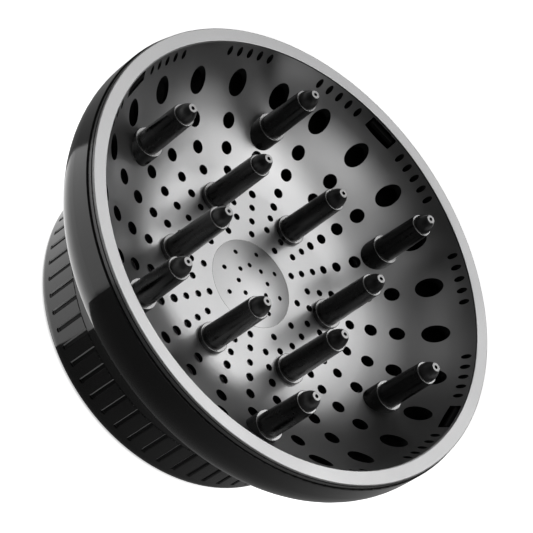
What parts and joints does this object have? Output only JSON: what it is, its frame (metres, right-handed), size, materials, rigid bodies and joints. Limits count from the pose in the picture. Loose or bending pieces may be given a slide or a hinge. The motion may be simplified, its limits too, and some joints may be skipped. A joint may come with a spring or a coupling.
{
  "type": "hair dryer diffuser",
  "caption": "Round bowl diffuser with a perforated silver dish, tall hollow fingers and a ribbed twist collar that closes clamp jaws on a dryer nozzle.",
  "frame": {"origin": "centre of the collar's flat rear face, on the surface the diffuser stands on", "axes": "+Z from the collar towards the fingers and the hair; +X through an outer finger"},
  "size_m": [0.1614, 0.1614, 0.0711],
  "materials": {
    "silver": "satin metallic silver paint",
    "gloss_black": "polished black",
    "grip_black": "polished black",
    "finger_black": "polished black",
    "soft_tip": "soft satin",
    "inner_black": "fine matte",
    "pad_rubber": "matte",
    "steel": "plain"
  },
  "bodies": {
    "bowl": {"bowl": "gloss_black", "trim_ring": "gloss_black", "dish_plate": "silver", "centre_cap": "silver", "finger_retainers": "steel", "jaw_guide": "inner_black", "guide_screws": "steel", "finger_outer_1": "finger_black", "finger_outer_2": "finger_black", "finger_outer_3": "finger_black", "finger_outer_4": "finger_black", "finger_outer_5": "finger_black", "finger_outer_6": "finger_black", "finger_inner_1": "finger_black", "finger_inner_2": "finger_black", "finger_inner_3": "finger_black", "finger_inner_4": "finger_black", "finger_inner_5": "finger_black", "finger_inner_6": "finger_black", "tip_outer_1": "soft_tip", "tip_outer_2": "soft_tip", "tip_outer_3": "soft_tip", "tip_outer_4": "soft_tip", "tip_outer_5": "soft_tip", "tip_outer_6": "soft_tip", "tip_inner_1": "soft_tip", "tip_inner_2": "soft_tip", "tip_inner_3": "soft_tip", "tip_inner_4": "soft_tip", "tip_inner_5": "soft_tip", "tip_inner_6": "soft_tip"},
    "collar": {"twist_collar": "grip_black"},
    "clamp_jaw_1": {"jaw_1": "inner_black", "jaw_pad_1": "pad_rubber"},
    "clamp_jaw_2": {"jaw_2": "inner_black", "jaw_pad_2": "pad_rubber"},
    "clamp_jaw_3": {"jaw_3": "inner_black", "jaw_pad_3": "pad_rubber"},
    "clamp_jaw_4": {"jaw_4": "inner_black", "jaw_pad_4": "pad_rubber"},
    "clamp_jaw_5": {"jaw_5": "inner_black", "jaw_pad_5": "pad_rubber"},
    "clamp_jaw_6": {"jaw_6": "inner_black", "jaw_pad_6": "pad_rubber"}
  },
  "joints": [
    {"name": "collar_twist", "type": "hinge", "parent": "bowl", "child": "collar", "pos_m": [0, 0, 0.01], "axis": [0, 0, 1], "range_deg": [0, 75]},
    {"name": "jaw_slide_1", "type": "slide", "parent": "bowl", "child": "clamp_jaw_1", "axis": [-1, 0, 0], "range_m": [0, 0.0096]},
    {"name": "jaw_slide_2", "type": "slide", "parent": "bowl", "child": "clamp_jaw_2", "axis": [-0.5, -0.866, 0], "range_m": [0, 0.0096]},
    {"name": "jaw_slide_3", "type": "slide", "parent": "bowl", "child": "clamp_jaw_3", "axis": [0.5, -0.866, 0], "range_m": [0, 0.0096]},
    {"name": "jaw_slide_4", "type": "slide", "parent": "bowl", "child": "clamp_jaw_4", "axis": [1, 0, 0], "range_m": [0, 0.0096]},
    {"name": "jaw_slide_5", "type": "slide", "parent": "bowl", "child": "clamp_jaw_5", "axis": [0.5, 0.866, 0], "range_m": [0, 0.0096]},
    {"name": "jaw_slide_6", "type": "slide", "parent": "bowl", "child": "clamp_jaw_6", "axis": [-0.5, 0.866, 0], "range_m": [0, 0.0096]}
  ],
  "couplings": [
    {"joint": "jaw_slide_1", "follows": "collar_twist", "m_per_rad": 0.0072575},
    {"joint": "jaw_slide_2", "follows": "collar_twist", "m_per_rad": 0.0072575},
    {"joint": "jaw_slide_3", "follows": "collar_twist", "m_per_rad": 0.0072575},
    {"joint": "jaw_slide_4", "follows": "collar_twist", "m_per_rad": 0.0072575},
    {"joint": "jaw_slide_5", "follows": "collar_twist", "m_per_rad": 0.0072575},
    {"joint": "jaw_slide_6", "follows": "collar_twist", "m_per_rad": 0.0072575}
  ]
}
